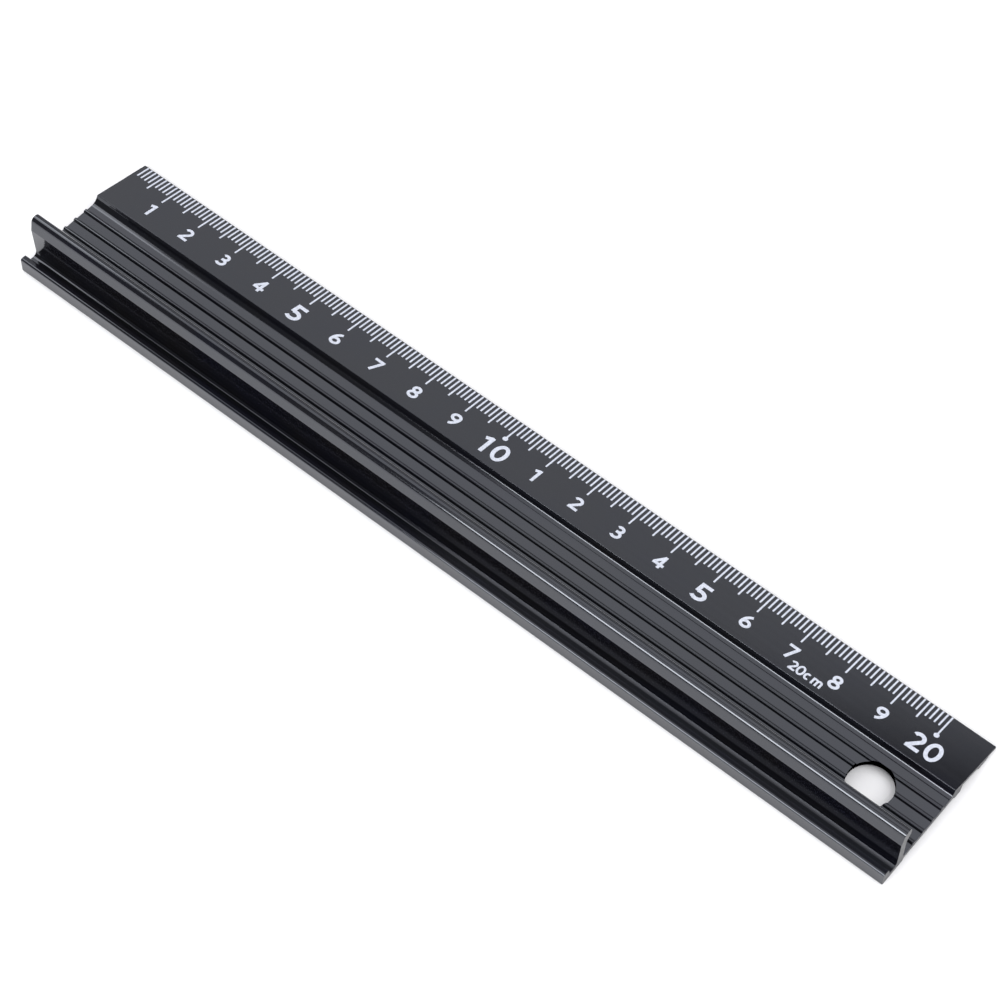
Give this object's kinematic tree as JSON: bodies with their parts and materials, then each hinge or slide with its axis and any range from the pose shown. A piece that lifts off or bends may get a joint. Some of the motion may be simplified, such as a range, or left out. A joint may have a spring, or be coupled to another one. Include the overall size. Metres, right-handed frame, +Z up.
{
  "type": "cutting ruler",
  "caption": "Short black anodised aluminium ruler for cutting along, with a sloping scale, a ribbed finger plate, an upright finger guard, a narrow cutting lip and a hanging hole.",
  "frame": {"origin": "on the surface that the feet stand on, in the middle of the ruler's length and width", "axes": "+X along the scale, from zero towards the hanging hole; +Y from the cutting lip to the scale edge; +Z up"},
  "size_m": [0.2094, 0.0354, 0.0122],
  "materials": {
    "black_anodised": "satin black anodised, fine lines along the extrusion",
    "white_ink": "screen-printed white ink"
  },
  "bodies": {
    "root": {"ruler_body": "black_anodised", "millimetre_ticks": "white_ink", "half_centimetre_ticks": "white_ink", "centimetre_ticks": "white_ink", "decade_marks": "white_ink", "size_label": "white_ink", "numeral_01": "white_ink", "numeral_02": "white_ink", "numeral_03": "white_ink", "numeral_04": "white_ink", "numeral_05": "white_ink", "numeral_06": "white_ink", "numeral_07": "white_ink", "numeral_08": "white_ink", "numeral_09": "white_ink", "numeral_10": "white_ink", "numeral_11": "white_ink", "numeral_12": "white_ink", "numeral_13": "white_ink", "numeral_14": "white_ink", "numeral_15": "white_ink", "numeral_16": "white_ink", "numeral_17": "white_ink", "numeral_18": "white_ink", "numeral_19": "white_ink", "numeral_20": "white_ink"}
  },
  "joints": []
}
